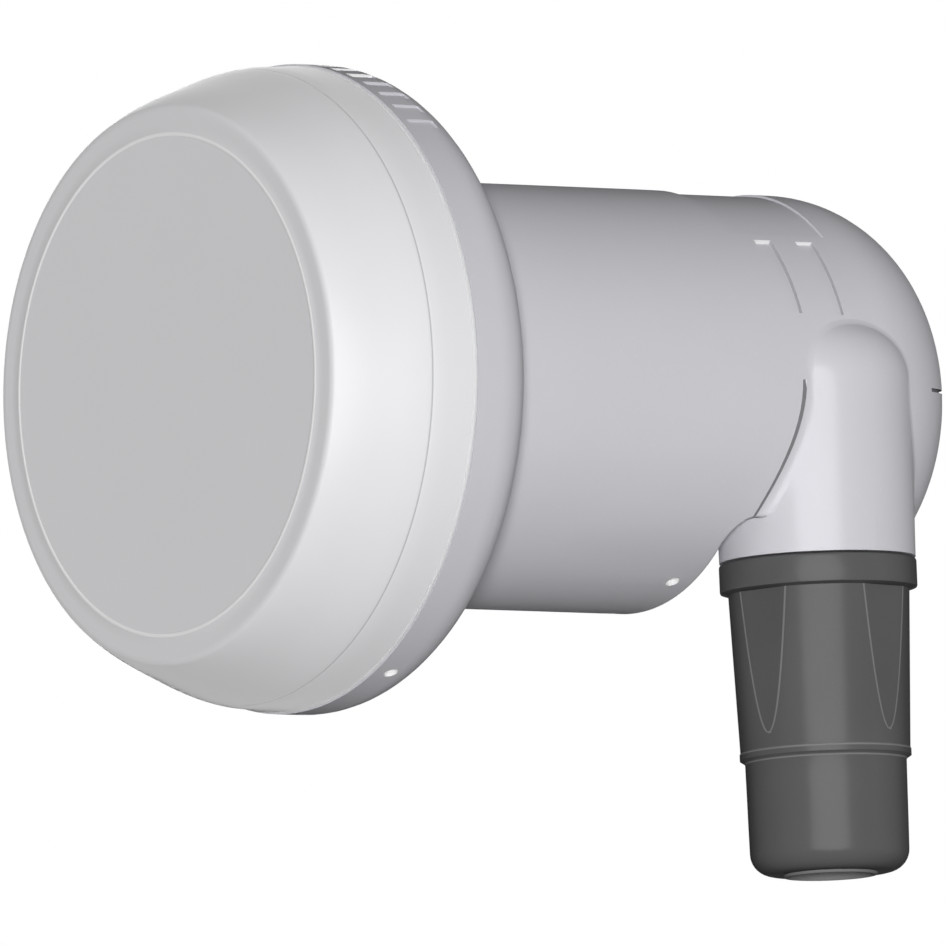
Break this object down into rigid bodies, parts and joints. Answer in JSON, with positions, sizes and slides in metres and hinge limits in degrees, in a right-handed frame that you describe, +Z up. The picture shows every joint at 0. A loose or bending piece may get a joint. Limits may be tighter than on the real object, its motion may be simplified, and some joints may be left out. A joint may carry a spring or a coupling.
{
  "type": "satellite lnb",
  "caption": "Low-noise block converter for a satellite dish: round feed cap, clamp neck, domed rear and a side connector boss with a pull-down weather boot.",
  "frame": {"origin": "on the axis of the clamp neck, at the middle of its land", "axes": "-Y is the way the feed cap faces, towards the dish; +Z is up; +X is the side that the connector boss is on"},
  "size_m": [0.0608, 0.0826, 0.0756],
  "materials": {
    "cap_plastic": "fine moulded satin, white",
    "housing_plastic": "fine moulded satin, light grey",
    "seal_white": "soft, matte",
    "seal_black": "soft, matte",
    "boot_rubber": "soft matte dark grey",
    "zinc_casting": "as cast",
    "screw_steel": "plated",
    "board_laminate": "varnished laminate",
    "copper": "bare copper",
    "chip_black": "moulded epoxy",
    "crystal_can": "drawn can",
    "ceramic": "ceramic with tinned ends",
    "nickel_brass": "nickel plated",
    "insulator_white": "translucent white",
    "contact_gold": "gold flashed"
  },
  "bodies": {
    "lnb_body": {"feed_cap": "cap_plastic", "cap_seal": "seal_white", "flange_ring": "housing_plastic", "outer_housing": "housing_plastic", "horn_casting": "zinc_casting", "casting_screws": "screw_steel", "circuit_board": "board_laminate", "horizontal_probe": "copper", "vertical_probe": "copper", "amplifier_transistors": "chip_black", "mixer_chip": "chip_black", "reference_crystal": "crystal_can", "voltage_regulator": "chip_black", "chip_capacitors": "ceramic", "shield_cover": "zinc_casting", "cover_screws": "screw_steel", "connector_barrel": "nickel_brass", "connector_insulator": "insulator_white", "centre_contact": "contact_gold", "connector_seal": "seal_black", "output_lead": "copper"},
    "boot": {"weather_boot": "boot_rubber"}
  },
  "joints": [
    {"name": "boot_slide", "type": "slide", "parent": "lnb_body", "child": "boot", "axis": [0.0689, 0, -0.9976], "range_m": [0, 0.03]}
  ]
}
